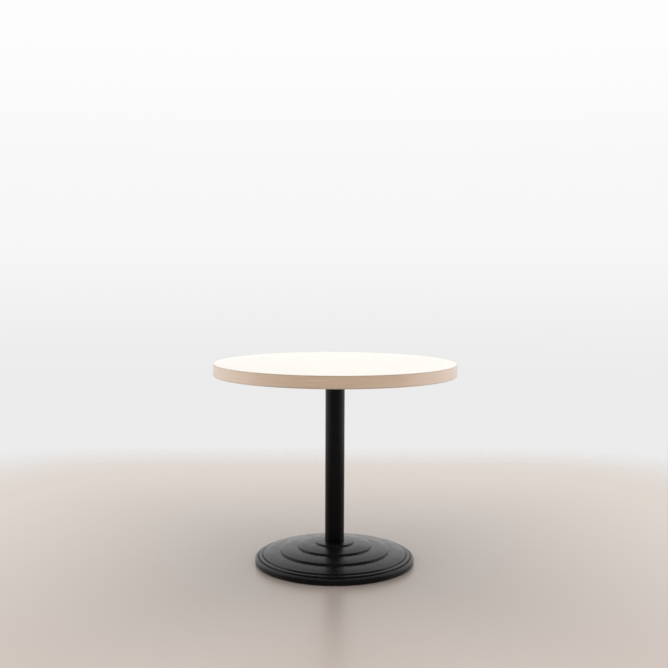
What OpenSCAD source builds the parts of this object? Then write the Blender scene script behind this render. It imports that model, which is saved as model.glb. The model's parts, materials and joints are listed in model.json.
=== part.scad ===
// Round pedestal table: a laminated top on a cast spider, a steel column and a stepped cast base.
// One tie rod runs down inside the column and clamps the spider, the column and the base together.
// Millimetres, +Z up. The origin is on the floor, on the column's axis.

/* [Tabletop] */
// Diameter of the tabletop over its edge band
top_d = 600; // [500:10:800]
// Height of the tabletop's surface above the floor
table_h = 500; // [430:5:760]
// Thickness of the chipboard core
core_t = 28; // [24:1:38]
// Thickness of the laminate sheet on each face of the core
sheet_t = 0.8; // [0.6:0.1:1.2]
// Thickness of the strip round the edge
band_t = 2; // [1.5:0.5:3]
// Rounding of the strip's two outer corners
band_round = 1; // [0.3:0.1:1.2]
// Gap where the two ends of the strip meet
band_seam = 0.3; // [0.1:0.1:0.5]

/* [Column] */
// Outer diameter of the column tube
column_d = 48; // [42:1:54]
// Wall thickness of the column tube
column_wall = 1.5; // [1.2:0.1:3]
// Radial clearance between the column tube and its two seats
seat_gap = 0.15; // [0.05:0.05:0.3]
// Thread diameter of the tie rod
rod_d = 10; // [8, 10, 12]

/* [Spider] */
// Length of each arm from the column's axis to its tip
arm_reach = 162; // [150:1:200]
// Width of each arm, measured at the column's axis
arm_root_w = 44; // [40:1:50]
// Width of each arm at its tip
arm_tip_w = 28; // [24:1:32]
// Thickness of the arms
arm_t = 5; // [4:0.5:6]
// Outer diameter of the hub
hub_d = 64; // [62:1:70]
// Thickness of the hub's web, between the column's cup and the nut's pocket
hub_web_t = 7; // [5:1:10]

/* [Base] */
// Diameter of the base over its rim
base_d = 395; // [380:5:440]
// Height of the base at the foot of the column
base_h = 54; // [52:1:60]
// Thickness of the casting
base_wall = 6.8; // [5.5:0.1:7]
// Height of the rim's lower edge above the floor
rim_lift = 2; // [1:0.5:3]
// Depth of the seat that the column stands in
seat_depth = 8; // [6:1:10]

/* [Glides] */
// Distance of each levelling glide from the rim's outer edge
glide_inset = 39.5; // [36:0.5:44]
// Diameter of the nylon pad
pad_d = 30; // [26:1:32]

/* [Hidden] */
$fn = 96;
fine_fn = 180;
small_fn = 32;
hexagon = 6;
// Overrun of a cutting shape past the face that it opens
over = 0.01;

// Tabletop
disc_r = top_d / 2 - band_t;
underside_z = table_h - core_t - 2 * sheet_t;

// Tie rod, nuts and washers
rod_r = rod_d / 2;
rod_hole_r = rod_r + 0.5;
rod_bevel = 1;
rod_tail = 4.4;
rod_top_gap = 0.5;
thread_play = 0.02;
nut_flats = lookup(rod_d, [[8, 13], [10, 17], [12, 19]]);
nut_h = 0.84 * rod_d;
washer_r = rod_d;
washer_h = 2;
plate_washer_r = 15;
plate_washer_h = 2.5;
spring_washer_r = 0.9 * rod_d;
spring_washer_h = 2.5;
spring_washer_play = 0.15;
spring_washer_gap = 18;

// Wood screws, head down
screw_len = 25;
screw_r = 2.5;
screw_tip_h = 5;
screw_head_r = 4.75;
screw_head_h = 3;
screw_play = 0.03;
screw_hole_r = 2.75;
recess_w = 1.1;
recess_len = 5;
recess_depth = 1.7;

// Spider
arm_count = 4;
arm_turn = 0;
arm_rib_t = 6;
tip_hole_x = arm_reach - arm_tip_w / 2;
side_hole = [88, 10.5];
cup_depth = 12;
pocket_r = 15;
pocket_depth = washer_h + nut_h + 0.6;
hub_h = pocket_depth + hub_web_t + cup_depth;
hub_foot_z = underside_z - hub_h;

// Base: four gently crowned treads, parted by three risers, then a beaded rim
base_r = base_d / 2;
riser_r = [for (share = [0.2446, 0.4684, 0.6887]) share * base_r];
riser_h = [3, 3.6, 4];
riser_lean = 0.6;
tread_fall = [1.4, 5.6, 6.4, 6.9];
tread_crown = [0.3, 1.4, 1.6, 1.2];
crown_round = 200;
edge_round = 1.2;
root_round = 0.8;
rim_w = 13.5;
rim_groove_w = 20.1;
seat_r = column_d / 2 + seat_gap;
seat_z = base_h - seat_depth;
boss_r = 33;
boss_z = 28;
rib_t = 6;
rib_arch_z = 16;
rib_foot_z = 7;

// Glides, screwed fully home
glide_count = 4;
glide_turn = 45;
glide_reach = base_r - glide_inset;
glide_play = 0.05;
glide_boss_r = 11;
glide_boss_z = 9.5;
glide_bore_top_z = riser_top_z(3) - 1.1;
pad_r = pad_d / 2;
pad_h = 6.5;
pad_wall_h = 3.8;
pad_neck_r = 8.5;
cup_z = [2, 4.2];
stud_r = 4;
stud_foot_r = 6;
stud_bevel = 1;
stud_top_z = glide_bore_top_z - 0.5;
stud_hex_flats = 13;
stud_hex_z = 6.7;
stud_hex_h = 2.6;

// Unit vector along v
function unit(v) = v / norm(v);

// Sum of a list's values from the first to number last
function sum_to(values, last) = last < 0 ? 0 : values[last] + sum_to(values, last - 1);

// Points of the arc that rounds corner b between its neighbours a and c, b being [x, y, radius]
function corner(a, b, c, steps = 6) =
    let (
        p = [b[0], b[1]],
        u = unit([a[0], a[1]] - p),
        w = unit([c[0], c[1]] - p),
        half = acos(u * w) / 2,
        radius = b[2]
    )
    radius == 0 ? [p] :
    let (
        centre = p + unit(u + w) * radius / sin(half),
        from = p + u * radius / tan(half) - centre,
        to = p + w * radius / tan(half) - centre,
        start = atan2(from[1], from[0]),
        turn = atan2(to[1], to[0]) - start,
        sweep = turn > 180 ? turn - 360 : turn < -180 ? turn + 360 : turn
    )
    [for (i = [0:steps]) let (a = start + sweep * i / steps) centre + radius * [cos(a), sin(a)]];

// A closed outline with each of its [x, y, radius] corners rounded
function rounded(outline) =
    let (n = len(outline))
    [for (i = [0:n - 1]) each corner(outline[(i + n - 1) % n], outline[i], outline[(i + 1) % n])];

// Heights of the base's skin at the top and foot of riser i, 3 being the rim's side of the last tread
function riser_top_z(i) = base_h - sum_to(tread_fall, i) - sum_to(riser_h, i - 1);
function riser_foot_z(i) = riser_top_z(i) - riser_h[i];

// Inner and outer end of tread i
function tread_start(i) =
    i == 0 ? [seat_r, base_h] : [riser_r[i - 1] + riser_lean, riser_foot_z(i - 1)];
function tread_end(i) = [i == 3 ? base_r - rim_groove_w : riser_r[i], riser_top_z(i)];

// Middle of tread i, raised above the straight line between its ends
function tread_crest(i) =
    let (p = (tread_start(i) + tread_end(i)) / 2)
    [p[0], p[1] + tread_crown[i], crown_round];

// Corners of the base's upper skin, from the column's seat out to the foot of the rim
function base_skin() =
    let (z = riser_top_z(3), r = base_r)
    concat(
        [[seat_r, base_h, 0.5]],
        [for (i = [0:2]) each [
            tread_crest(i),
            [riser_r[i], riser_top_z(i), edge_round],
            [riser_r[i] + riser_lean, riser_foot_z(i), root_round],
        ]],
        [
            tread_crest(3), [r - rim_groove_w, z, 0.8],
            [r - 18.9, z - 4.6, 0.6], [r - 16.5, z - 2.9, 0.8],
            [r - 9.9, z - 3.3, 2], [r - 8.9, z - 9.4, 0.6], [r - 6.7, z - 7.1, 0.8],
            [r, z - 7.7, 5], [r, rim_lift, 1], [r - rim_w, rim_lift, 1],
        ]
    );

// Corners of the base's underside, from the rim in to the boss, raised by lift into the casting
function base_underside(lift = 0) =
    concat(
        [
            [base_r - rim_w - 1, 12.5 + lift, 2],
            [base_r - rim_w - 8, riser_top_z(3) - base_wall + lift, 4],
        ],
        [for (i = [2:-1:0]) each [
            [riser_r[i], riser_foot_z(i) - base_wall + lift, 4],
            [riser_r[i] - base_wall, riser_top_z(i) - base_wall + lift, 4],
        ]]
    );

// Hexagonal prism, as wide as flats across its flats, standing on z = 0
module hex_prism(flats, height) {
    cylinder(h = height, r = flats / 2 / cos(180 / hexagon), $fn = hexagon);
}

// Hexagonal nut standing on z = 0, with its corners chamfered at both ends
module nut(flats, height, bore_r) {
    face_r = flats / 2;
    corner_r = face_r / cos(180 / hexagon);
    bevel = 0.6 * (corner_r - face_r);
    difference() {
        intersection() {
            hex_prism(flats, height);
            rotate_extrude()
                polygon([
                    [0, 0], [face_r, 0], [corner_r, bevel],
                    [corner_r, height - bevel], [face_r, height], [0, height],
                ]);
        }
        translate([0, 0, -over]) cylinder(h = height + 2 * over, r = bore_r);
    }
}

// Ring with a square section standing on z = 0
module ring(outer_r, inner_r, height) {
    difference() {
        cylinder(h = height, r = outer_r);
        translate([0, 0, -over]) cylinder(h = height + 2 * over, r = inner_r);
    }
}

// Places children at each of the wood screws, on the underside of the top
module at_screws() {
    for (i = [0:arm_count - 1])
        rotate(arm_turn + i * 360 / arm_count)
            for (place = [[tip_hole_x, 0], side_hole])
                translate([place[0], place[1], underside_z]) children();
}

// Places children at glide n, or at every glide when n is 0
module at_glides(n = 0) {
    for (i = [1:glide_count])
        if (n == 0 || n == i)
            rotate(glide_turn + (i - 1) * 360 / glide_count)
                translate([glide_reach, 0, 0]) children();
}

module top_laminate() {
    color("ivory")
        translate([0, 0, table_h - sheet_t]) cylinder(h = sheet_t, r = disc_r, $fn = fine_fn);
}

// Chipboard disc with a blind pilot hole for each wood screw
module top_core() {
    color("burlywood")
        difference() {
            translate([0, 0, underside_z + sheet_t]) cylinder(h = core_t, r = disc_r, $fn = fine_fn);
            at_screws()
                cylinder(h = screw_len - arm_t + 0.3, r = screw_r + screw_play, $fn = small_fn);
        }
}

module backing_laminate() {
    color("gainsboro")
        difference() {
            translate([0, 0, underside_z]) cylinder(h = sheet_t, r = disc_r, $fn = fine_fn);
            at_screws()
                translate([0, 0, -over])
                    cylinder(h = sheet_t + 2 * over, r = screw_r + screw_play, $fn = small_fn);
        }
}

// Strip wound once round the disc, its two ends butted at the back
module edge_band() {
    seam_angle = band_seam / (PI * top_d) * 360;
    color("tan")
        rotate(90 + seam_angle / 2)
            rotate_extrude(angle = 360 - seam_angle, $fn = fine_fn)
                polygon(rounded([
                    [disc_r, underside_z, 0],
                    [top_d / 2, underside_z, band_round],
                    [top_d / 2, table_h, band_round],
                    [disc_r, table_h, 0],
                ]));
}

// Pan-head wood screw pointing up from its head's seat on z = 0, with a cross recess in the head
module wood_screw() {
    difference() {
        union() {
            rotate_extrude($fn = small_fn)
                polygon(rounded([
                    [0, 0, 0], [screw_head_r, 0, 0.3],
                    [screw_head_r - 0.6, -screw_head_h, 1.8], [0, -screw_head_h, 0],
                ]));
            cylinder(h = screw_len - screw_tip_h, r = screw_r, $fn = small_fn);
            translate([0, 0, screw_len - screw_tip_h])
                cylinder(h = screw_tip_h, r1 = screw_r, r2 = 0.3, $fn = small_fn);
        }
        for (turn = [0, 90])
            rotate(turn)
                translate([-recess_len / 2, -recess_w / 2, -screw_head_h - over])
                    cube([recess_len, recess_w, recess_depth]);
    }
}

module top_screws() {
    color("silver") at_screws() translate([0, 0, -arm_t]) wood_screw();
}

// One arm of the spider, along +X, with its top on z = 0 and a tapering rib beneath it
module spider_arm() {
    rib_start = hub_d / 2 - 4;
    rib_end = tip_hole_x - 14;
    translate([0, 0, -arm_t]) linear_extrude(arm_t) {
        polygon([
            [0, -arm_root_w / 2], [tip_hole_x, -arm_tip_w / 2],
            [tip_hole_x, arm_tip_w / 2], [0, arm_root_w / 2],
        ]);
        translate([tip_hole_x, 0]) circle(r = arm_tip_w / 2);
    }
    translate([0, arm_rib_t / 2, 0]) rotate([90, 0, 0]) linear_extrude(arm_rib_t)
        polygon([
            [rib_start, -arm_t / 2], [rib_end, -arm_t / 2],
            [rib_end, -arm_t - 1], [rib_start, 4 - hub_h],
        ]);
}

// Cast four-armed plate under the top, with a cup below for the column and a pocket above for the nut
module spider() {
    color("#1c1c1c")
        difference() {
            union() {
                translate([0, 0, underside_z])
                    for (i = [0:arm_count - 1]) rotate(arm_turn + i * 360 / arm_count) spider_arm();
                translate([0, 0, hub_foot_z])
                    rotate_extrude()
                        polygon(rounded([
                            [0, 0, 0], [hub_d / 2 - 1, 0, 1.5], [hub_d / 2, hub_h, 0], [0, hub_h, 0],
                        ]));
            }
            translate([0, 0, hub_foot_z - over]) cylinder(h = cup_depth + over, r = seat_r);
            translate([0, 0, hub_foot_z]) cylinder(h = hub_h, r = rod_hole_r);
            translate([0, 0, underside_z - pocket_depth])
                cylinder(h = pocket_depth + over, r = pocket_r);
            at_screws()
                translate([0, 0, -arm_t - over])
                    cylinder(h = arm_t + 2 * over, r = screw_hole_r, $fn = small_fn);
        }
}

module top_washer() {
    color("silver")
        translate([0, 0, underside_z - pocket_depth]) ring(washer_r, rod_hole_r, washer_h);
}

module top_nut() {
    color("silver")
        translate([0, 0, underside_z - pocket_depth + washer_h])
            nut(nut_flats, nut_h, rod_r + thread_play);
}

module column_tube() {
    color("#141414")
        translate([0, 0, seat_z])
            ring(column_d / 2, column_d / 2 - column_wall, hub_foot_z + cup_depth - seat_z);
}

// Threaded rod from inside the base to inside the spider, its thread drawn as its outer diameter
module tie_rod() {
    foot_z = boss_z - plate_washer_h - spring_washer_h - nut_h - rod_tail;
    head_z = underside_z - rod_top_gap;
    color("silver")
        rotate_extrude()
            polygon([
                [0, foot_z], [rod_r - rod_bevel, foot_z], [rod_r, foot_z + rod_bevel],
                [rod_r, head_z - rod_bevel], [rod_r - rod_bevel, head_z], [0, head_z],
            ]);
}

// Radial stiffener under the base, along +X, from the boss to the rim
module base_rib() {
    translate([0, rib_t / 2, 0]) rotate([90, 0, 0]) linear_extrude(rib_t)
        polygon(concat(
            [
                [boss_r - 3, rib_arch_z + 4], [boss_r + 20, rib_arch_z],
                [base_r - rim_w + 3, rib_foot_z], [base_r - rim_w + 3, 12.5],
            ],
            [for (p = base_underside(base_wall / 2)) [p[0], p[1]]],
            [[boss_r - 3, riser_foot_z(0) - base_wall / 2]]
        ));
}

// Hollow stepped casting with a seat for the column, a boss for the tie rod and one for each glide
module base_casting() {
    color("#202020")
        difference() {
            union() {
                rotate_extrude($fn = fine_fn)
                    polygon(rounded(concat(
                        base_skin(),
                        base_underside(),
                        [
                            [boss_r, riser_foot_z(0) - base_wall, 3], [boss_r - 1, boss_z, 1],
                            [rod_hole_r, boss_z, 0], [rod_hole_r, seat_z, 0], [seat_r, seat_z, 0],
                        ]
                    )));
                for (turn = [0:90:270]) rotate(turn) base_rib();
                at_glides()
                    translate([0, 0, glide_boss_z])
                        cylinder(h = riser_top_z(3) - 2 - glide_boss_z, r = glide_boss_r);
            }
            at_glides()
                translate([0, 0, glide_boss_z - over])
                    cylinder(h = glide_bore_top_z - glide_boss_z + over, r = stud_r + glide_play);
        }
}

module base_washer() {
    color("silver")
        translate([0, 0, boss_z - plate_washer_h]) ring(plate_washer_r, rod_hole_r, plate_washer_h);
}

// Split ring that keeps the nut from working loose
module base_spring_washer() {
    foot = spring_washer_play;
    head = spring_washer_h - spring_washer_play;
    color("silver")
        translate([0, 0, boss_z - plate_washer_h - spring_washer_h])
            rotate_extrude(angle = 360 - spring_washer_gap)
                polygon([
                    [rod_hole_r, foot], [spring_washer_r, foot],
                    [spring_washer_r, head], [rod_hole_r, head],
                ]);
}

module base_nut() {
    color("silver")
        translate([0, 0, boss_z - plate_washer_h - spring_washer_h - nut_h])
            nut(nut_flats, nut_h, rod_r + thread_play);
}

// Nylon foot that stands on the floor, with a cup and a lip that hold the foot of the stud
module glide_pad(n) {
    color("#303030")
        at_glides(n)
            rotate_extrude()
                polygon(concat(
                    rounded([
                        [0, 0, 0], [pad_r, 0, 1.2], [pad_r, pad_wall_h, 1.2],
                        [pad_neck_r, pad_h, 0.8], [stud_r + glide_play, pad_h, 0],
                    ]),
                    [
                        [stud_r + glide_play, cup_z[1]], [stud_foot_r + glide_play, cup_z[1]],
                        [stud_foot_r + glide_play, cup_z[0]], [0, cup_z[0]],
                    ]
                ));
}

// Threaded stud with a hexagon to turn it by and a round foot that turns in the pad
module glide_stud(n) {
    foot_z = cup_z[0] + glide_play;
    neck_z = cup_z[1] - glide_play;
    color("silver")
        at_glides(n) {
            rotate_extrude()
                polygon([
                    [0, foot_z], [stud_foot_r, foot_z], [stud_foot_r, neck_z], [stud_r, neck_z],
                    [stud_r, stud_top_z - stud_bevel], [stud_r - stud_bevel, stud_top_z], [0, stud_top_z],
                ]);
            translate([0, 0, stud_hex_z]) hex_prism(stud_hex_flats, stud_hex_h);
        }
}

top_laminate();
top_core();
backing_laminate();
edge_band();
top_screws();
spider();
top_nut();
top_washer();
column_tube();
tie_rod();
base_casting();
base_washer();
base_spring_washer();
base_nut();
glide_pad(1);  // glide_pad_1
glide_pad(2);  // glide_pad_2
glide_pad(3);  // glide_pad_3
glide_pad(4);  // glide_pad_4
glide_stud(1);  // glide_stud_1
glide_stud(2);  // glide_stud_2
glide_stud(3);  // glide_stud_3
glide_stud(4);  // glide_stud_4
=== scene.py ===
# The looks of a round pedestal table. Object sizes are in metres, and MM turns millimetres into them.
import json
import math

import bmesh
import bpy
from mathutils import Matrix, Vector


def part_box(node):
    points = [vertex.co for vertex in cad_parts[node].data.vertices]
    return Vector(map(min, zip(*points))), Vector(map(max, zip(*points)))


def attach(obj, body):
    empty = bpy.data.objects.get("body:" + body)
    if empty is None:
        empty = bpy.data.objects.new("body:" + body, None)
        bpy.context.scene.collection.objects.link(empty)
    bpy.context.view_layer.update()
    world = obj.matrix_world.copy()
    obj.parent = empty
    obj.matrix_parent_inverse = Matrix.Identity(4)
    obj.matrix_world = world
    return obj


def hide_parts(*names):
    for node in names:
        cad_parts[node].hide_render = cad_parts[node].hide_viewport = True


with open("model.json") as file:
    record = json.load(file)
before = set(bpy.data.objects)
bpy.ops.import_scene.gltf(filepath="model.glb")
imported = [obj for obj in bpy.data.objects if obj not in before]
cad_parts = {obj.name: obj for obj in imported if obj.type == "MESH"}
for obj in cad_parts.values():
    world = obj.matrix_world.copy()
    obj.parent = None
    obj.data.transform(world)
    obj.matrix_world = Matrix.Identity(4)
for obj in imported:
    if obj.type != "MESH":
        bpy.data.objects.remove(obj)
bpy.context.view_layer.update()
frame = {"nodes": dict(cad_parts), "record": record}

MM = 0.001
GLIDES = (1, 2, 3, 4)

WIDE_SIDES = 288  # sides of a turned piece as wide as the top or the base
TUBE_SIDES = 144
HUB_SIDES = 96
HOLE_SIDES = 64
SCREW_HOLE_SIDES = 32
BAR_SIDES = 48  # sides of a threaded bar
ROWS_PER_TURN = 12  # rows of its mesh in one turn of the thread
CHAMFER_ROWS = 6  # rows down a hexagon's chamfer
CHAMFER_SLOPE = 2  # how far the chamfer spreads for each unit of its height

THREAD_DEPTH = 0.6134  # of the pitch
CREST_END = 1 / 16  # of the pitch, from the middle of the crest
ROOT_START = 3 / 8

# ---------------------------------------------------------------- sizes, most of them from the frame

TOP_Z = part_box("top_laminate")[1].z
TOP_R = round(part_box("edge_band")[1].x, 4)
DISC_R = round(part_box("top_laminate")[1].x, 4)
UNDERSIDE_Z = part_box("edge_band")[0].z
SHEET_T = TOP_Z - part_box("top_core")[1].z
COLUMN_R = round(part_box("column_tube")[1].x, 4)
BASE_R = round(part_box("base_casting")[1].x, 4)
BASE_FOOT_Z, BASE_H = (corner.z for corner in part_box("base_casting"))
SEAT_R = COLUMN_R + 0.15 * MM  # of the spider's cup and the base's seat, with the tube's clearance
ROD_HOLE_R = 5.5 * MM


# ---------------------------------------------------------------- shapes

def rounded(outline, steps=6):
    """A closed outline of (x, y, radius) corners, with each corner rounded to its radius."""
    points = []
    count = len(outline)
    for i, (x, y, radius) in enumerate(outline):
        here = Vector((x, y))
        to_last = (Vector(outline[i - 1][:2]) - here).normalized()
        to_next = (Vector(outline[(i + 1) % count][:2]) - here).normalized()
        if radius == 0:
            points.append(here)
            continue
        half = to_last.angle(to_next) / 2
        centre = here + (to_last + to_next).normalized() * radius / math.sin(half)
        first = here + to_last * radius / math.tan(half) - centre
        last = here + to_next * radius / math.tan(half) - centre
        sweep = math.atan2(last.y, last.x) - math.atan2(first.y, first.x)
        sweep = (sweep + math.pi) % math.tau - math.pi
        for step in range(steps + 1):
            points.append(centre + Matrix.Rotation(sweep * step / steps, 2) @ first)
    return points


def shade(mesh, sharp_deg=32):
    """Shades a mesh smooth, except at edges sharper than sharp_deg."""
    mesh.shade_smooth()
    mesh.set_sharp_from_angle(angle=math.radians(sharp_deg))


def finish_mesh(name, bm):
    """A new object from bm."""
    bmesh.ops.recalc_face_normals(bm, faces=bm.faces)
    mesh = bpy.data.meshes.new(name)
    bm.to_mesh(mesh)
    bm.free()
    shade(mesh)
    piece = bpy.data.objects.new(name, mesh)
    bpy.context.scene.collection.objects.link(piece)
    return piece


def at_turn(radius, turn, height):
    return (radius * math.cos(turn), radius * math.sin(turn), height)


def lathe(name, outline, sides=WIDE_SIDES, start=0.0, sweep=math.tau):
    """A closed (radius, height) outline turned about +Z. A sweep under a full turn gets flat ends."""
    whole = sweep == math.tau
    stations = [start + sweep * i / sides for i in range(sides if whole else sides + 1)]
    bm = bmesh.new()
    rings = []
    for radius, height in outline:
        if radius == 0:
            rings.append([bm.verts.new((0, 0, height))] * len(stations))
        else:
            rings.append([bm.verts.new(at_turn(radius, turn, height)) for turn in stations])
    for i, ring in enumerate(rings):
        above = rings[(i + 1) % len(rings)]
        for j in range(sides):
            k = (j + 1) % len(stations)
            corners = list(dict.fromkeys((ring[j], ring[k], above[k], above[j])))
            if len(corners) > 2:
                bm.faces.new(corners)
    if not whole:
        for j in (0, -1):
            bm.faces.new([ring[j] for ring in rings])
    return finish_mesh(name, bm)


def prism(name, outline, low, high):
    """An (x, y) outline drawn up from height low to height high."""
    bm = bmesh.new()
    face = bm.faces.new([bm.verts.new((x, y, low)) for x, y in outline])
    drawn = bmesh.ops.extrude_face_region(bm, geom=[face])["geom"]
    upper = [part for part in drawn if isinstance(part, bmesh.types.BMVert)]
    bmesh.ops.translate(bm, vec=(0, 0, high - low), verts=upper)
    return finish_mesh(name, bm)


def ease_edges(piece, radius, sharp_deg=40):
    """Rounds every edge of the piece that is sharper than sharp_deg."""
    bm = bmesh.new()
    bm.from_mesh(piece.data)
    sharp = [edge for edge in bm.edges if edge.calc_face_angle(0) > math.radians(sharp_deg)]
    bmesh.ops.bevel(bm, geom=sharp, offset=radius, segments=4, profile=0.5, affect="EDGES")
    bm.to_mesh(piece.data)
    bm.free()
    return piece


def circle(radius, sides=HOLE_SIDES, centre=(0, 0)):
    """An outline for prism()."""
    turns = [math.tau * i / sides for i in range(sides)]
    return [(centre[0] + radius * math.cos(turn), centre[1] + radius * math.sin(turn)) for turn in turns]


def place(piece, matrix):
    """Moves the piece's mesh, and leaves its object at the origin."""
    piece.data.transform(matrix)
    return piece


def turned(degrees):
    return Matrix.Rotation(math.radians(degrees), 4, "Z")


def applied(piece):
    """Turns the piece's modifiers into its mesh."""
    graph = bpy.context.evaluated_depsgraph_get()
    mesh = bpy.data.meshes.new_from_object(piece.evaluated_get(graph))
    piece.modifiers.clear()
    old = piece.data
    piece.data = mesh
    bpy.data.meshes.remove(old)
    return piece


def combine(piece, operation, *others):
    """Joins the others to the piece, or cuts them out of it, and removes them."""
    for other in others:
        cut = piece.modifiers.new("combine", "BOOLEAN")
        cut.operation = operation
        cut.solver = "EXACT"
        cut.object = other
        applied(piece)
        bpy.data.objects.remove(other)
    return piece


def even_normals(piece):
    """Keeps broad faces flat in shading beside their narrow rounded edges."""
    weights = piece.modifiers.new("even_normals", "WEIGHTED_NORMAL")
    weights.weight = 100
    weights.keep_sharp = True


def thread_radius(phase, outer, pitch):
    """Radius of a 60 degree screw thread at a phase of its pitch from 0 to 1, the crest being at 0."""
    from_crest = min(phase, 1 - phase)
    share = (from_crest - CREST_END) / (ROOT_START - CREST_END)
    return outer - THREAD_DEPTH * pitch * max(0.0, min(1.0, share))


def thread_rows(outer, pitch, low, high, low_bevel=0.0, high_bevel=0.0):
    """Rows for stack() of a right-handed thread, with a chamfer at either end."""
    count = math.ceil((high - low) / pitch * ROWS_PER_TURN)
    rows = []
    for row in range(count + 1):
        z = low + (high - low) * row / count
        limit = outer - max(0.0, low_bevel - (z - low), high_bevel - (high - z))
        flanks = [thread_radius((z / pitch - i / BAR_SIDES) % 1.0, outer, pitch) for i in range(BAR_SIDES)]
        rows.append((z, [min(limit, radius) for radius in flanks]))
    return rows


def round_row(z, radius):
    """A circular row for stack()."""
    return (z, [radius] * BAR_SIDES)


def hexagon_rows(flats, low, high):
    """Rows of a hexagon, flats wide across its flats, with its corners turned off at each face."""
    from_flat = [((i * 6 / BAR_SIDES) % 1.0 - 0.5) * math.pi / 3 for i in range(BAR_SIDES)]
    side = [flats / 2 / math.cos(turn) for turn in from_flat]
    chamfer_h = (side[0] - flats / 2) / CHAMFER_SLOPE
    steps = [chamfer_h * i / CHAMFER_ROWS for i in range(CHAMFER_ROWS + 1)]
    rows = []
    for z in [low + step for step in steps] + [high - step for step in reversed(steps)]:
        cone = flats / 2 + CHAMFER_SLOPE * min(z - low, high - z)
        rows.append((z, [min(cone, radius) for radius in side]))
    return rows


def stack(name, rows):
    """A bar about +Z through rows of (height, radii), closed by a flat face at each end."""
    bm = bmesh.new()
    rings = []
    turns = [math.tau * i / BAR_SIDES for i in range(BAR_SIDES)]
    for z, radii in rows:
        rings.append([bm.verts.new(at_turn(radius, turn, z)) for radius, turn in zip(radii, turns)])
    for ring, above in zip(rings, rings[1:]):
        for j in range(BAR_SIDES):
            k = (j + 1) % BAR_SIDES
            bm.faces.new((ring[j], ring[k], above[k], above[j]))
    bm.faces.new(rings[0][::-1])
    bm.faces.new(rings[-1])
    return finish_mesh(name, bm)


# ---------------------------------------------------------------- materials

NOISE_RANGE = (0.3, 0.7)  # nearly all of a noise's values lie in it


def with_alpha(colour):
    return (*colour, 1)


class Nodes:
    """A node tree, with short calls for the nodes used here."""

    def __init__(self, tree):
        self.tree = tree

    def node(self, kind, **settings):
        made = self.tree.nodes.new(kind)
        for key, value in settings.items():
            setattr(made, key, value)
        return made

    def link(self, source, target):
        self.tree.links.new(source, target)

    def feed(self, target, value):
        if isinstance(value, bpy.types.NodeSocket):
            self.link(value, target)
        else:
            target.default_value = value

    def math(self, operation, first, second=0.0):
        made = self.node("ShaderNodeMath", operation=operation)
        self.feed(made.inputs[0], first)
        self.feed(made.inputs[1], second)
        return made.outputs[0]

    def split(self, vector):
        """The X, Y and Z of a vector."""
        made = self.node("ShaderNodeSeparateXYZ")
        self.link(vector, made.inputs[0])
        return made.outputs

    def remap(self, value, from_low, from_high, to_low=0.0, to_high=1.0):
        """A value stretched from one range to another, and held at its ends."""
        made = self.node("ShaderNodeMapRange")
        self.feed(made.inputs["Value"], value)
        made.inputs["From Min"].default_value = from_low
        made.inputs["From Max"].default_value = from_high
        made.inputs["To Min"].default_value = to_low
        made.inputs["To Max"].default_value = to_high
        return made.outputs["Result"]

    def ramp(self, fac, *stops, between="LINEAR"):
        """Colours or greys at (position, value) stops."""
        made = self.node("ShaderNodeValToRGB")
        self.feed(made.inputs["Fac"], fac)
        made.color_ramp.interpolation = between
        elements = made.color_ramp.elements
        while len(elements) < len(stops):
            elements.new(0.5)
        for element, (position, value) in zip(elements, stops):
            element.position = position
            element.color = with_alpha(value if isinstance(value, tuple) else (value, value, value))
        return made.outputs["Color"]

    def mix(self, fac, first, second):
        """A mix of two colours, each a tuple or a socket."""
        made = self.node("ShaderNodeMix", data_type="RGBA")
        sockets = [socket for socket in made.inputs if socket.type == "RGBA"]
        self.feed(made.inputs["Factor"], fac)
        for socket, colour in zip(sockets, (first, second)):
            self.feed(socket, with_alpha(colour) if isinstance(colour, tuple) else colour)
        return next(socket for socket in made.outputs if socket.type == "RGBA")


class Shader(Nodes):
    """A material with one Principled surface, whose constants are named with _ for each space."""

    def __init__(self, name, **constants):
        self.material = bpy.data.materials.new(name)
        self.material.use_nodes = True
        super().__init__(self.material.node_tree)
        self.surface = self.tree.nodes["Principled BSDF"]
        for socket, value in constants.items():
            self.surface.inputs[socket.replace("_", " ")].default_value = value
        self.coordinates = self.node("ShaderNodeTexCoord").outputs["Object"]

    def scaled(self, scale, source=None):
        """The coordinates, or source, multiplied by an (x, y, z) scale."""
        made = self.node("ShaderNodeVectorMath", operation="MULTIPLY")
        self.feed(made.inputs[0], source or self.coordinates)
        made.inputs[1].default_value = scale
        return made.outputs[0]

    def noise(self, scale, detail=2.0, roughness=0.5, source=None, distortion=0.0):
        made = self.node("ShaderNodeTexNoise")
        self.feed(made.inputs["Vector"], source or self.coordinates)
        made.inputs["Scale"].default_value = scale
        made.inputs["Detail"].default_value = detail
        made.inputs["Roughness"].default_value = roughness
        made.inputs["Distortion"].default_value = distortion
        return made.outputs["Fac"]

    def spread(self, noise, low, high):
        """A noise's usual range, stretched from low to high."""
        return self.remap(noise, *NOISE_RANGE, low, high)

    def bump(self, *layers):
        """Stacks bumps, each (height, depth in metres)."""
        normal = None
        for height, depth in layers:
            made = self.node("ShaderNodeBump")
            made.inputs["Strength"].default_value = 1.0
            made.inputs["Distance"].default_value = depth
            self.link(height, made.inputs["Height"])
            if normal:
                self.link(normal, made.inputs["Normal"])
            normal = made.outputs["Normal"]
        self.link(normal, self.surface.inputs["Normal"])

    def set(self, socket, value):
        self.feed(self.surface.inputs[socket], value)


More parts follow.
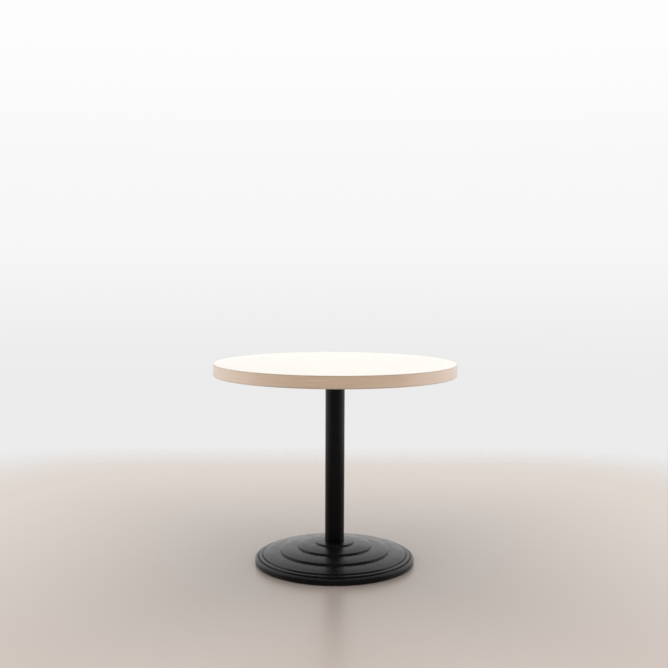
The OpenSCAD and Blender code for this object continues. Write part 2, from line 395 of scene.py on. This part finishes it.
def cream_laminate():
    """Cream white high-pressure laminate with a fine matt texture and faint clouding."""
    s = Shader("cream_laminate", IOR=1.5)
    cloud = s.noise(9, 3)
    fleck = s.noise(420, 2, 0.6)
    tone = s.mix(s.spread(cloud, 0.0, 1.0), (0.845, 0.815, 0.745), (0.875, 0.848, 0.785))
    s.set("Base Color", s.mix(s.spread(fleck, 0.0, 0.35), tone, (0.80, 0.765, 0.69)))
    s.set("Roughness", s.spread(s.noise(30, 4), 0.34, 0.46))
    s.bump((s.noise(1100, 2), 0.04 * MM), (s.noise(260, 2), 0.05 * MM))
    return s.material


ARRIS = 3 * MM  # how far in from its corners the edging is painted darker: painted shade of the rounded arris, partly handling wear


def beech_edging():
    """Beech-grain edging: long fine streaks round the edge, short darker flecks, and painted shade just
    inside its corners.
    """
    s = Shader("beech_edging", IOR=1.46, Coat_Weight=0.7, Coat_Roughness=0.28)
    x, y, z = s.split(s.coordinates)
    # the distance round the edge, measured from the front so that it breaks at the strip's seam
    turn = s.math("ARCTAN2", x, s.math("MULTIPLY", y, -1.0))
    unrolled = s.node("ShaderNodeCombineXYZ")
    s.link(s.math("MULTIPLY", turn, TOP_R), unrolled.inputs["X"])
    s.link(z, unrolled.inputs["Z"])
    flat = unrolled.outputs[0]
    streak = s.noise(1, 5, 0.6, s.scaled((14, 1, 650), flat), 0.4)
    band = s.noise(1, 2, 0.5, s.scaled((5, 1, 120), flat), 0.6)
    fleck = s.noise(1, 1, 0.5, s.scaled((260, 1, 1900), flat))
    board = s.noise(1, 2, 0.5, s.scaled((3.2, 1, 20), flat))
    dark, middle, light = (0.422, 0.285, 0.195), (0.532, 0.38, 0.27), (0.598, 0.445, 0.32)
    tone = s.ramp(streak, (0.28, dark), (0.5, middle), (0.75, light))
    tone = s.mix(s.spread(band, 0.0, 0.45), tone, (0.469, 0.314, 0.214))
    tone = s.mix(s.spread(board, 0.0, 0.35), tone, (0.618, 0.468, 0.335))
    tone = s.mix(s.ramp(fleck, (0.60, 0.0), (0.70, 0.5)), tone, (0.328, 0.219, 0.138))
    # a darker line, in patches, just inside the top and bottom corners: painted shade of the rounded arris,
    # partly handling wear
    middle_z, half_t = (TOP_Z + UNDERSIDE_Z) / 2, (TOP_Z - UNDERSIDE_Z) / 2
    from_middle = s.math("ABSOLUTE", s.math("SUBTRACT", z, middle_z))
    to_arris = s.math("MULTIPLY", s.math("SUBTRACT", from_middle, half_t - ARRIS), 1 / ARRIS)
    painted_arris_shade = s.ramp(to_arris, (0.0, 0.0), (0.35, 1.0), (0.7, 1.0), (1.0, 0.2))
    patchy_arris_shade = s.math("MULTIPLY", painted_arris_shade, s.spread(s.noise(34, 3), 0.55, 1.0))
    tone = s.mix(patchy_arris_shade, tone, (0.367, 0.285, 0.218))
    s.set("Base Color", tone)
    s.set("Roughness", s.spread(streak, 0.42, 0.32))
    s.bump((streak, 0.06 * MM), (fleck, 0.03 * MM))
    return s.material


def powder_coat(name, tone, gloss, roughness, grain, orange_peel):
    """Black powder coat: soft orange peel, the metal's own grain beneath, and a little dust on top."""
    s = Shader(name, IOR=1.5, Specular_IOR_Level=gloss)
    upward = s.split(s.node("ShaderNodeNewGeometry").outputs["Normal"])["Z"]
    patches = s.spread(s.noise(26, 5, 0.6), 0.15, 0.6)
    dust = s.math("MULTIPLY", s.ramp(upward, (0.55, 0.0), (0.95, 1.0)), patches)
    s.set("Base Color", s.mix(dust, tone, tuple(3.0 * part for part in tone)))
    uneven = s.spread(s.noise(60, 3), roughness - 0.04, roughness + 0.04)
    s.set("Roughness", s.math("ADD", uneven, s.math("MULTIPLY", dust, 0.06)))
    s.bump((s.noise(700, 2), grain), (s.noise(140, 2), orange_peel))
    return s.material


def zinc_plate():
    """Bright zinc plate, a little clouded."""
    s = Shader("zinc_plate", Metallic=1.0)
    cloud = s.noise(180, 4, 0.6)
    s.set("Base Color", s.mix(s.spread(cloud, 0.0, 1.0), (0.55, 0.56, 0.58), (0.72, 0.72, 0.70)))
    s.set("Roughness", s.spread(s.noise(420, 3), 0.24, 0.42))
    s.bump((s.noise(1500, 2), 0.02 * MM))
    return s.material


def black_nylon():
    """Moulded black nylon, faintly speckled."""
    s = Shader("black_nylon", IOR=1.53)
    speckle = s.spread(s.noise(300, 3), 0.0, 1.0)
    s.set("Base Color", s.mix(speckle, (0.018, 0.018, 0.019), (0.035, 0.035, 0.036)))
    s.set("Roughness", s.spread(s.noise(90, 3), 0.45, 0.6))
    s.bump((s.noise(900, 2), 0.04 * MM))
    return s.material


def chipboard():
    """Raw chipboard: pale and brown chips pressed together."""
    s = Shader("chipboard", Roughness=0.85)
    chips = s.node("ShaderNodeTexVoronoi", feature="F1")
    s.link(s.scaled((500, 500, 1100)), chips.inputs["Vector"])
    chips.inputs["Scale"].default_value = 1.0
    grey = s.node("ShaderNodeRGBToBW")
    s.link(chips.outputs["Color"], grey.inputs[0])
    brown, tan, pale = (0.34, 0.21, 0.11), (0.55, 0.39, 0.23), (0.70, 0.55, 0.36)
    s.set("Base Color", s.ramp(grey.outputs[0], (0.2, brown), (0.5, tan), (0.8, pale)))
    s.bump((chips.outputs["Distance"], 0.3 * MM))
    return s.material


def backing_sheet():
    """Off-white balancing sheet with a faint fibrous mottle."""
    s = Shader("backing_sheet", IOR=1.48)
    cloud = s.noise(14, 4, 0.6)
    fibre = s.noise(1, 3, 0.6, s.scaled((90, 600, 90)))
    tone = s.mix(s.spread(cloud, 0.0, 1.0), (0.60, 0.575, 0.53), (0.68, 0.655, 0.61))
    s.set("Base Color", s.mix(s.spread(fibre, 0.0, 0.25), tone, (0.52, 0.49, 0.44)))
    s.set("Roughness", s.spread(s.noise(40, 3), 0.5, 0.62))
    s.bump((s.noise(800, 2), 0.05 * MM))
    return s.material


FINISHES = {
    "cream_laminate": cream_laminate(),
    "beech_edging": beech_edging(),
    "black_casting": powder_coat(
        "black_casting", (0.0019, 0.0019, 0.0020),
        gloss=0.18, roughness=0.25, grain=0.012 * MM, orange_peel=0.05 * MM,
    ),
    "black_tube": powder_coat(
        "black_tube", (0.0022, 0.0019, 0.0020),
        gloss=0.09, roughness=0.22, grain=0.005 * MM, orange_peel=0.03 * MM,
    ),
    "zinc_plate": zinc_plate(),
    "black_nylon": black_nylon(),
    "chipboard": chipboard(),
    "backing_sheet": backing_sheet(),
}


def dress(piece, slot):
    """Gives the piece the finish of a material slot, and nothing else."""
    piece.data.materials.clear()
    piece.data.materials.append(FINISHES[slot])
    return piece


def stand_for(piece, slot, body, *nodes):
    """Puts a piece in the place of CAD nodes, on their body."""
    dress(piece, slot)
    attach(piece, body)
    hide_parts(*nodes)


# ---------------------------------------------------------------- tabletop

SHEET_EASE = 0.12 * MM
BAND_ROUND = 1 * MM
BAND_SEAM = 0.3 * MM


def tabletop():
    """The sheet on the top, and the strip round its edge, whose ends meet at the back."""
    sheet_z = TOP_Z - SHEET_T
    sheet = lathe("tabletop_sheet", rounded([
        (0, sheet_z, 0), (DISC_R, sheet_z, 0), (DISC_R, TOP_Z, SHEET_EASE), (0, TOP_Z, 0),
    ], 3))
    stand_for(sheet, "cream_laminate", "table", "top_laminate")

    seam = BAND_SEAM / TOP_R
    section = rounded([
        (DISC_R, UNDERSIDE_Z, 0), (TOP_R, UNDERSIDE_Z, BAND_ROUND),
        (TOP_R, TOP_Z, BAND_ROUND), (DISC_R, TOP_Z, 0),
    ])
    strip = lathe("edging_strip", section, WIDE_SIDES, math.pi / 2 + seam / 2, math.tau - seam)
    even_normals(strip)
    stand_for(strip, "beech_edging", "table", "edge_band")


# ---------------------------------------------------------------- column and tie rod

TUBE_WALL = 1.5 * MM
TUBE_EASE = 0.2 * MM
ROD_PITCH = 1.5 * MM
ROD_BEVEL = 1 * MM
FOOT_THREAD_H = 40 * MM
HEAD_THREAD_H = 25 * MM


def column():
    """The tube, with its ends eased."""
    low, high = (corner.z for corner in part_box("column_tube"))
    corners = [(COLUMN_R - TUBE_WALL, low), (COLUMN_R, low), (COLUMN_R, high), (COLUMN_R - TUBE_WALL, high)]
    tube = lathe("column", rounded([(*corner, TUBE_EASE) for corner in corners], 2), TUBE_SIDES)
    even_normals(tube)
    stand_for(tube, "black_tube", "table", "column_tube")


def tie_rod():
    """A bar with a rolled thread at each end of a plain shank."""
    low, high = (corner.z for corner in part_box("tie_rod"))
    radius = round(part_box("tie_rod")[1].x, 4)
    shank_r = radius - 0.5 * MM
    foot_end, head_start = low + FOOT_THREAD_H, high - HEAD_THREAD_H
    rod = stack("tie_rod_bar", [
        *thread_rows(radius, ROD_PITCH, low, foot_end, low_bevel=ROD_BEVEL),
        round_row(foot_end, shank_r),
        round_row(head_start, shank_r),
        *thread_rows(radius, ROD_PITCH, head_start, high, high_bevel=ROD_BEVEL),
    ])
    stand_for(rod, "zinc_plate", "table", "tie_rod")


# ---------------------------------------------------------------- spider

HUB_FOOT_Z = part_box("spider")[0].z
ARM_REACH = round(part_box("spider")[1].x, 4)
ARM_T = 5 * MM
ARM_HALF_ROOT = 22 * MM
ARM_TIP_R = 14 * MM
ARM_RIB_T = 6 * MM
TIP_HOLE_X = ARM_REACH - ARM_TIP_R
SCREW_HOLES = [(TIP_HOLE_X, 0), (88 * MM, 10.5 * MM)]
SCREW_HOLE_R = 2.75 * MM
HUB_R = 32 * MM
HUB_ROUND = 1.5 * MM
CUP_DEPTH = 12 * MM
POCKET_R = 15 * MM
POCKET_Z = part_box("top_washer")[0].z
CASTING_VOXEL = 1.1 * MM
CASTING_SMOOTHINGS = 8


def spider_arm():
    """One arm of the spider, along +X: a tapering plate with a round tip, and a rib under it."""
    tip = [Matrix.Rotation(math.radians(a), 2) @ Vector((ARM_TIP_R, 0)) for a in range(-90, 91, 6)]
    plate = [(0, -ARM_HALF_ROOT)] + [(TIP_HOLE_X + x, y) for x, y in tip] + [(0, ARM_HALF_ROOT)]
    under = UNDERSIDE_Z - ARM_T
    arm = ease_edges(prism("arm", plate, under, UNDERSIDE_Z), 1.4 * MM)
    rib_start, rib_end = HUB_R - 4 * MM, TIP_HOLE_X - 14 * MM
    side = [(rib_start, under + ARM_T / 2), (rib_end, under + ARM_T / 2)]
    side += [(rib_end, under - MM), (rib_start, HUB_FOOT_Z + 4 * MM)]
    rib = ease_edges(prism("rib", side, -ARM_RIB_T / 2, ARM_RIB_T / 2), 1.8 * MM)
    return combine(arm, "UNION", place(rib, Matrix.Rotation(math.pi / 2, 4, "X")))


def soften(piece, voxel, passes):
    """Rounds every edge and fills every inner corner a little, as sand casting does."""
    remesh = piece.modifiers.new("voxels", "REMESH")
    remesh.mode = "VOXEL"
    remesh.voxel_size = voxel
    applied(piece)
    smooth = piece.modifiers.new("smooth", "SMOOTH")
    smooth.factor = 0.5
    smooth.iterations = passes
    return applied(piece)


def spider():
    """The cast plate under the top: the hub and its arms, softened, and then their machined holes."""
    hub = lathe("spider_plate", rounded([
        (0, HUB_FOOT_Z, 0), (HUB_R - MM, HUB_FOOT_Z, HUB_ROUND),
        (HUB_R, UNDERSIDE_Z, HUB_ROUND), (0, UNDERSIDE_Z, 0),
    ]), HUB_SIDES)
    combine(hub, "UNION", *[place(spider_arm(), turned(90 * i)) for i in range(4)])
    soften(hub, CASTING_VOXEL, CASTING_SMOOTHINGS)
    cuts = [
        prism("cup", circle(SEAT_R, HUB_SIDES), HUB_FOOT_Z - MM, HUB_FOOT_Z + CUP_DEPTH),
        prism("rod_hole", circle(ROD_HOLE_R), HUB_FOOT_Z, UNDERSIDE_Z),
        prism("pocket", circle(POCKET_R, HUB_SIDES), POCKET_Z, UNDERSIDE_Z + MM),
    ]
    for i in range(4):
        for centre in SCREW_HOLES:
            outline = circle(SCREW_HOLE_R, SCREW_HOLE_SIDES, centre)
            hole = prism("hole", outline, UNDERSIDE_Z - ARM_T - MM, UNDERSIDE_Z + MM)
            cuts.append(place(hole, turned(90 * i)))
    combine(hub, "DIFFERENCE", *cuts)
    shade(hub.data, sharp_deg=38)
    stand_for(hub, "black_casting", "table", "spider")


# ---------------------------------------------------------------- base

WALL = 6.8 * MM
RIM_W = 13.5 * MM
RIM_HOLLOW_Z = 12.5 * MM
RIB_T = 6 * MM
RIB_ARCH_Z = 16 * MM
RIB_FOOT_Z = 7 * MM
RIB_RIM_Z = 14 * MM
RISER_R = [share * BASE_R for share in (0.2446, 0.4684, 0.6887)]
RISER_H = [3 * MM, 3.6 * MM, 4 * MM]
RISER_LEAN = 0.6 * MM
TREAD_FALL = [1.4 * MM, 5.6 * MM, 6.4 * MM, 6.9 * MM]
TREAD_CROWN = [0.3 * MM, 1.4 * MM, 1.6 * MM, 1.2 * MM]
CROWN_ROUND = 200 * MM
EDGE_ROUND = 1.2 * MM
ROOT_ROUND = 0.8 * MM
HOLLOW_ROUND = 4 * MM
RISER_TOP = [BASE_H - sum(TREAD_FALL[: i + 1]) - sum(RISER_H[:i]) for i in range(4)]
RISER_FOOT = [top - height for top, height in zip(RISER_TOP, RISER_H)]
SEAT_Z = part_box("column_tube")[0].z
BOSS_R = 33 * MM
BOSS_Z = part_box("base_washer")[1].z
GLIDE_BOSS_R = 11 * MM
GLIDE_BOSS_Z = 9.5 * MM
GLIDE_BOSS_TOP_Z = RISER_TOP[3] - 2 * MM
GLIDE_BORE_R = 4.05 * MM
GLIDE_BORE_TOP_Z = RISER_TOP[3] - 1.1 * MM

# Corners of the rim's grooves and beads in millimetres, as (out from the base's edge, up from the
# last tread's end, radius)
RIM = [
    (-20.1, 0, 0.8), (-18.9, -4.6, 0.6), (-16.5, -2.9, 0.8), (-9.9, -3.3, 2),
    (-8.9, -9.4, 0.6), (-6.7, -7.1, 0.8), (0, -7.7, 5),
]
LAST_TREAD_R = BASE_R + RIM[0][0] * MM


def base_skin():
    """Corners of the base's upper side, from the column's seat out to the rim and round under it."""
    starts = [(SEAT_R, BASE_H)]
    starts += [(radius + RISER_LEAN, foot) for radius, foot in zip(RISER_R, RISER_FOOT)]
    ends = list(zip(RISER_R + [LAST_TREAD_R], RISER_TOP))
    steps = [(SEAT_R, BASE_H, 0.5 * MM)]
    for start, end, crown in zip(starts, ends, TREAD_CROWN):
        steps.append(((start[0] + end[0]) / 2, (start[1] + end[1]) / 2 + crown, CROWN_ROUND))
        if end != ends[-1]:
            steps += [(*end, EDGE_ROUND), (*starts[ends.index(end) + 1], ROOT_ROUND)]
    steps += [(BASE_R + x * MM, RISER_TOP[3] + z * MM, radius * MM) for x, z, radius in RIM]
    return steps + [(BASE_R, BASE_FOOT_Z, 1 * MM), (BASE_R - RIM_W, BASE_FOOT_Z, 1 * MM)]


def base_underside():
    """Corners of the base's hollow underside, from the rim in to the boss and up its bore."""
    steps = [
        (BASE_R - RIM_W - 1 * MM, RIM_HOLLOW_Z, 2 * MM),
        (BASE_R - RIM_W - 8 * MM, RISER_TOP[3] - WALL, HOLLOW_ROUND),
    ]
    for radius, top, foot in reversed(list(zip(RISER_R, RISER_TOP, RISER_FOOT))):
        steps += [(radius, foot - WALL, HOLLOW_ROUND), (radius - WALL, top - WALL, HOLLOW_ROUND)]
    return steps + [
        (BOSS_R, RISER_FOOT[0] - WALL, 3 * MM), (BOSS_R - 1 * MM, BOSS_Z, 1 * MM),
        (ROD_HOLE_R, BOSS_Z, 0), (ROD_HOLE_R, SEAT_Z, 0), (SEAT_R, SEAT_Z, 0),
    ]


def base_rib():
    """A stiffener under the base, along +X, that ends inside the boss, the shell and the rim."""
    inner, outer = BOSS_R - 3 * MM, BASE_R - RIM_W + 3 * MM
    side = [
        (inner, RIB_ARCH_Z + 4 * MM), (BOSS_R + 20 * MM, RIB_ARCH_Z),
        (outer, RIB_FOOT_Z), (outer, RIB_RIM_Z),
        (BASE_R - RIM_W - 8 * MM, RISER_TOP[3] - WALL / 2),
    ]
    for radius, top, foot in reversed(list(zip(RISER_R, RISER_TOP, RISER_FOOT))):
        side += [(radius, foot - WALL / 2), (radius - WALL, top - WALL / 2)]
    side.append((inner, RISER_FOOT[0] - WALL / 2))
    rib = prism("rib", side, -RIB_T / 2, RIB_T / 2)
    return place(rib, Matrix.Rotation(math.pi / 2, 4, "X"))


def middle_of(low, high):
    """The (x, y) middle of a box."""
    return ((low.x + high.x) / 2, (low.y + high.y) / 2)


def base():
    """The stepped casting: one turned shell with its ribs, and a bored boss over each glide."""
    shell = lathe("stepped_base", rounded(base_skin() + base_underside()))
    ribs = [place(base_rib(), turned(90 * i)) for i in range(4)]
    bosses, bores = [], []
    for n in GLIDES:
        centre = middle_of(*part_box(f"glide_pad_{n}"))
        boss, bore = circle(GLIDE_BOSS_R, HUB_SIDES, centre), circle(GLIDE_BORE_R, HOLE_SIDES, centre)
        bosses.append(prism("boss", boss, GLIDE_BOSS_Z, GLIDE_BOSS_TOP_Z))
        bores.append(prism("bore", bore, GLIDE_BOSS_Z - MM, GLIDE_BORE_TOP_Z))
    combine(shell, "UNION", *ribs, *bosses)
    combine(shell, "DIFFERENCE", *bores)
    shade(shell.data)
    even_normals(shell)
    stand_for(shell, "black_casting", "table", "base_casting")


# ---------------------------------------------------------------- levelling studs

STUD_R = 4 * MM
STUD_PITCH = 1.25 * MM
STUD_FOOT_R = 6 * MM
STUD_FOOT_H = 2.1 * MM
STUD_HEX_Z = 6.7 * MM
STUD_HEX_H = 2.6 * MM
STUD_HEX_FLATS = 13 * MM
STUD_EASE = 0.3 * MM
STUD_BEVEL = 0.8 * MM
FIRST_GLIDE_TURN = 45  # degrees round from +X


def levelling_stud(n):
    """A threaded stud with a round foot in the pad's cup and a hexagon to turn it by."""
    low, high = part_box(f"glide_stud_{n}")
    foot_z = low.z + STUD_FOOT_H
    hex_top = STUD_HEX_Z + STUD_HEX_H
    neck_r = STUD_R - STUD_EASE
    stud = stack(f"levelling_stud_{n}", [
        round_row(low.z, STUD_FOOT_R - STUD_EASE),
        round_row(low.z + STUD_EASE, STUD_FOOT_R),
        round_row(foot_z - STUD_EASE, STUD_FOOT_R),
        round_row(foot_z, STUD_FOOT_R - STUD_EASE),
        round_row(foot_z, neck_r),
        round_row(STUD_HEX_Z, neck_r),
        *hexagon_rows(STUD_HEX_FLATS, STUD_HEX_Z, hex_top),
        *thread_rows(STUD_R, STUD_PITCH, hex_top, high.z, high_bevel=STUD_BEVEL),
    ])
    x, y = middle_of(low, high)
    place(stud, Matrix.Translation((x, y, 0)) @ turned(FIRST_GLIDE_TURN + 90 * (n - 1)))
    stand_for(stud, "zinc_plate", f"screw_{n}", f"glide_stud_{n}")


# ---------------------------------------------------------------- everything

tabletop()
column()
tie_rod()
spider()
base()
for n in GLIDES:
    levelling_stud(n)

CAD_FINISH = {entry["node"]: entry["material_slot"] for entry in frame["record"]["subparts"]}
for name, node in frame["nodes"].items():
    if not node.hide_render:
        dress(node, CAD_FINISH[name])


# ---------------------------------------------------------------- stage

FLOOR_R = 2.3
FLOOR_SIDES = 96
# the floor's colour at its middle is a painted shadow of the table, and it lightens out to FLOOR_FAR one
# metre away
FLOOR_PAINTED_SHADOW = (0.305, 0.256, 0.230)
FLOOR_FAR = (0.58, 0.505, 0.450)
SQUARENESS = 5  # 2 would fade the floor away round a circle, and more nears a square
FADE_FROM = 1.0
FADE_TO = 1.6


def floor():
    """A pale floor with a painted shadow, darker towards the table, that loses its gloss and then fades
    away into the pale surroundings.
    """
    bm = bmesh.new()
    bmesh.ops.create_circle(bm, cap_ends=True, radius=FLOOR_R, segments=FLOOR_SIDES)
    ground = finish_mesh("floor", bm)
    s = Shader("floor", Roughness=0.3)
    x, y, _ = s.split(s.coordinates)
    powers = [s.math("POWER", s.math("ABSOLUTE", axis), SQUARENESS) for axis in (x, y)]
    metres = s.math("POWER", s.math("ADD", *powers), 1 / SQUARENESS)
    # painted shadow: the floor's colour darkens towards the table's middle
    s.set("Base Color", s.ramp(metres, (0.0, FLOOR_PAINTED_SHADOW), (1.0, FLOOR_FAR)))
    out = s.remap(metres, 0.0, FADE_TO)
    s.set("Specular IOR Level", s.ramp(out, (0.1, 0.4), (1.0, 0.0), between="EASE"))
    fade = s.remap(metres, FADE_FROM, FADE_TO)
    s.set("Alpha", s.ramp(fade, (0.0, 1.0), (1.0, 0.0), between="EASE"))
    ground.data.materials.append(s.material)


OVERHEAD = 1.08  # the grey of the light from overhead


def surroundings():
    """Soft light from all round, strongest from the sides. The camera sees a pale wall in its place."""
    world = bpy.data.worlds.new("studio")
    bpy.context.scene.world = world
    world.use_nodes = True
    s = Nodes(world.node_tree)
    _, y, z = s.split(s.node("ShaderNodeTexCoord").outputs["Generated"])

    def greys(axis, low, high, *stops):
        """Greys from one end of a range of an axis to the other."""
        return s.ramp(s.remap(axis, low, high), *stops, between="EASE")

    round_about = greys(y, -1, 1, (0, 0.12), (0.3, 0.30), (0.5, 2.5), (0.7, 2.1), (1, 1.2))
    beneath = greys(y, -1, 1, (0, 0.9), (0.5, 2.2), (1, 0.9))
    wall = greys(z, -0.12, 0.26, (0, 0.835), (0.45, 0.93), (1, 0.985))

    above_floor = s.mix(greys(z, 0.1, 0.6, (0, 0.0), (1, 1.0)), round_about, (OVERHEAD,) * 3)
    light = s.mix(greys(z, -0.1, 0.0, (0, 1.0), (1, 0.0)), above_floor, beneath)
    lit = s.tree.nodes["Background"]
    seen = s.node("ShaderNodeBackground")
    s.link(light, lit.inputs["Color"])
    s.link(wall, seen.inputs["Color"])
    choose = s.node("ShaderNodeMixShader")
    s.link(s.node("ShaderNodeLightPath").outputs["Is Camera Ray"], choose.inputs["Fac"])
    s.link(lit.outputs[0], choose.inputs[1])
    s.link(seen.outputs[0], choose.inputs[2])
    s.link(choose.outputs[0], s.tree.nodes["World Output"].inputs["Surface"])


SOFTBOX_AIM = Vector((0, 0, 0.3))


def softbox(name, place_at, size, watts):
    """A soft rectangular lamp, left out of reflections."""
    data = bpy.data.lights.new(name, "AREA")
    data.shape = "RECTANGLE"
    data.size, data.size_y = size
    data.energy = watts
    lamp = bpy.data.objects.new(name, data)
    lamp.location = place_at
    lamp.rotation_euler = (SOFTBOX_AIM - Vector(place_at)).to_track_quat("-Z", "Y").to_euler()
    lamp.visible_glossy = False
    bpy.context.scene.collection.objects.link(lamp)


CAMERA_AT = (0, -2.424, 0.7376)
CAMERA_TILT = math.radians(3.95)  # down from level
CAMERA_TURN = 0.0014  # this and the roll are in radians too
CAMERA_ROLL = 0.0041
SENSOR_W = 36  # in millimetres, as the lens is
LENS = 53.09


def camera():
    """Stands well back from the table, a little above its top, and looks slightly down."""
    data = bpy.data.cameras.new("camera")
    data.sensor_width = SENSOR_W
    data.lens = LENS
    eye = bpy.data.objects.new("camera", data)
    eye.matrix_world = (
        Matrix.Translation(CAMERA_AT)
        @ Matrix.Rotation(CAMERA_TURN, 4, "Z")
        @ Matrix.Rotation(math.pi / 2 - CAMERA_TILT, 4, "X")
        @ Matrix.Rotation(CAMERA_ROLL, 4, "Z")
    )
    bpy.context.scene.collection.objects.link(eye)
    bpy.context.scene.camera = eye


floor()
surroundings()
softbox("front_fill", (0.4, -3.0, 1.6), (3.0, 2.0), 16)
camera()
bpy.context.scene.view_settings.view_transform = "Standard"
